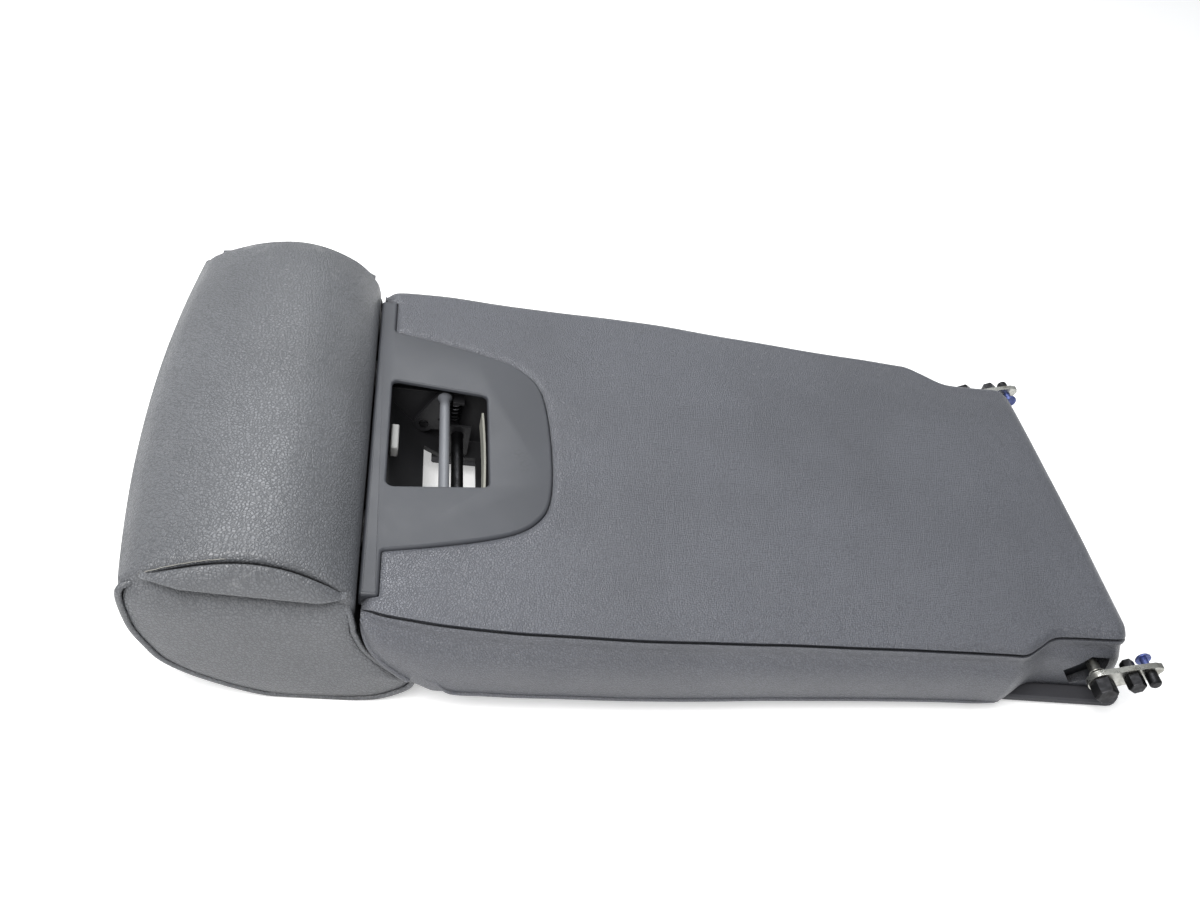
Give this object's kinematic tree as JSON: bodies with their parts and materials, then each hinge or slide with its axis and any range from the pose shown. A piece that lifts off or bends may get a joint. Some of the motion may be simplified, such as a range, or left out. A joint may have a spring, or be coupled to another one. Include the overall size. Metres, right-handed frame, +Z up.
{
  "type": "rear seat armrest",
  "caption": "Fold-down rear seat armrest: padded leather backrest section with a latch release in a moulded surround, height-adjustable head restraint and bolted hinge arms.",
  "frame": {"origin": "centre of the bounding box's underside, on the ground", "axes": "+X from the head restraint towards the hinges, +Y to the side away from the height button, +Z up, with the seat face up"},
  "size_m": [0.6164, 0.3142, 0.1156],
  "materials": {
    "leather": "fine grained grey leather, satin",
    "board_covering": "dark grey short-pile covering",
    "bezel_plastic": "fine satin grain, blue-grey",
    "black_plastic": "plain moulded",
    "grey_plastic": "plain moulded",
    "rod_steel": "bright plated rod",
    "frame_steel": "black coated steel",
    "zinc_plated_steel": "dull zinc plating",
    "dark_steel": "dark phosphated steel",
    "blue_marked_steel": "steel stud with a blue marked head"
  },
  "bodies": {
    "backrest_panel": {"back_board": "board_covering", "back_frame": "frame_steel", "bezel": "bezel_plastic", "board_screw_1": "frame_steel", "board_screw_2": "frame_steel", "board_screw_3": "frame_steel", "board_screw_4": "frame_steel", "far_bracket_screw_1": "frame_steel", "far_bracket_screw_2": "frame_steel", "far_guide_sleeve": "black_plastic", "far_hinge_bracket": "frame_steel", "far_housing_bolt": "frame_steel", "far_lever_pin": "dark_steel", "far_pivot_bolt": "dark_steel", "far_pivot_nut": "frame_steel", "far_pivot_spacer": "zinc_plated_steel", "far_pivot_washer": "zinc_plated_steel", "hook_pin": "dark_steel", "hook_pin_clip": "dark_steel", "latch_housing": "black_plastic", "lever_spring": "zinc_plated_steel", "lever_stop_pad": "grey_plastic", "near_bracket_screw_1": "frame_steel", "near_bracket_screw_2": "frame_steel", "near_guide_sleeve": "black_plastic", "near_hinge_bracket": "frame_steel", "near_housing_bolt": "frame_steel", "near_lever_pin": "dark_steel", "near_pivot_bolt": "dark_steel", "near_pivot_nut": "frame_steel", "near_pivot_spacer": "zinc_plated_steel", "near_pivot_washer": "zinc_plated_steel", "seat_pad": "leather"},
    "head_restraint": {"head_restraint_cushion": "leather", "head_restraint_rod": "rod_steel"},
    "release_lever": {"release_lever": "bezel_plastic"},
    "latch_hook": {"latch_hook": "dark_steel"},
    "latch_link": {"latch_link": "dark_steel"},
    "height_button": {"height_button": "black_plastic"},
    "near_arm": {"near_hinge_arm": "zinc_plated_steel", "near_arm_bolt": "dark_steel", "near_arm_nut": "dark_steel", "near_arm_stud": "blue_marked_steel", "near_arm_stud_cap": "dark_steel"},
    "far_arm": {"far_hinge_arm": "zinc_plated_steel", "far_arm_bolt": "dark_steel", "far_arm_nut": "dark_steel", "far_arm_stud": "blue_marked_steel", "far_arm_stud_cap": "dark_steel"}
  },
  "joints": [
    {"name": "head_restraint_slide", "type": "slide", "parent": "backrest_panel", "child": "head_restraint", "axis": [-0.9996, 0, 0.0296], "range_m": [0, 0.054]},
    {"name": "release_lever_turn", "type": "hinge", "parent": "backrest_panel", "child": "release_lever", "pos_m": [-0.151, 0, 0.03886], "axis": [0, -1, 0], "range_deg": [0, 30], "stiffness_Nm_per_rad": 0.6, "springref_deg": -20.05, "deforming": ["lever_spring"]},
    {"name": "latch_hook_turn", "type": "hinge", "parent": "backrest_panel", "child": "latch_hook", "pos_m": [-0.12851, 0, 0.0382], "axis": [0, -1, 0], "range_deg": [0, 30]},
    {"name": "latch_link_turn", "type": "hinge", "parent": "latch_hook", "child": "latch_link", "pos_m": [-0.12422, 0, 0.04808], "axis": [0, -1, 0], "range_deg": [-30, 0]},
    {"name": "height_button_slide", "type": "slide", "parent": "backrest_panel", "child": "height_button", "axis": [0, 1, 0], "range_m": [0, 0.003], "stiffness_N_per_m": 600, "springref_m": -0.004},
    {"name": "near_arm_turn", "type": "hinge", "parent": "backrest_panel", "child": "near_arm", "pos_m": [0.27246, 0, 0.03132], "axis": [0, -1, 0], "range_deg": [-30, 110]},
    {"name": "far_arm_turn", "type": "hinge", "parent": "backrest_panel", "child": "far_arm", "pos_m": [0.27246, 0, 0.03132], "axis": [0, -1, 0], "range_deg": [-30, 110]}
  ],
  "couplings": [
    {"joint": "latch_hook_turn", "follows": "release_lever_turn", "ratio": 1},
    {"joint": "latch_link_turn", "follows": "release_lever_turn", "ratio": -1}
  ]
}
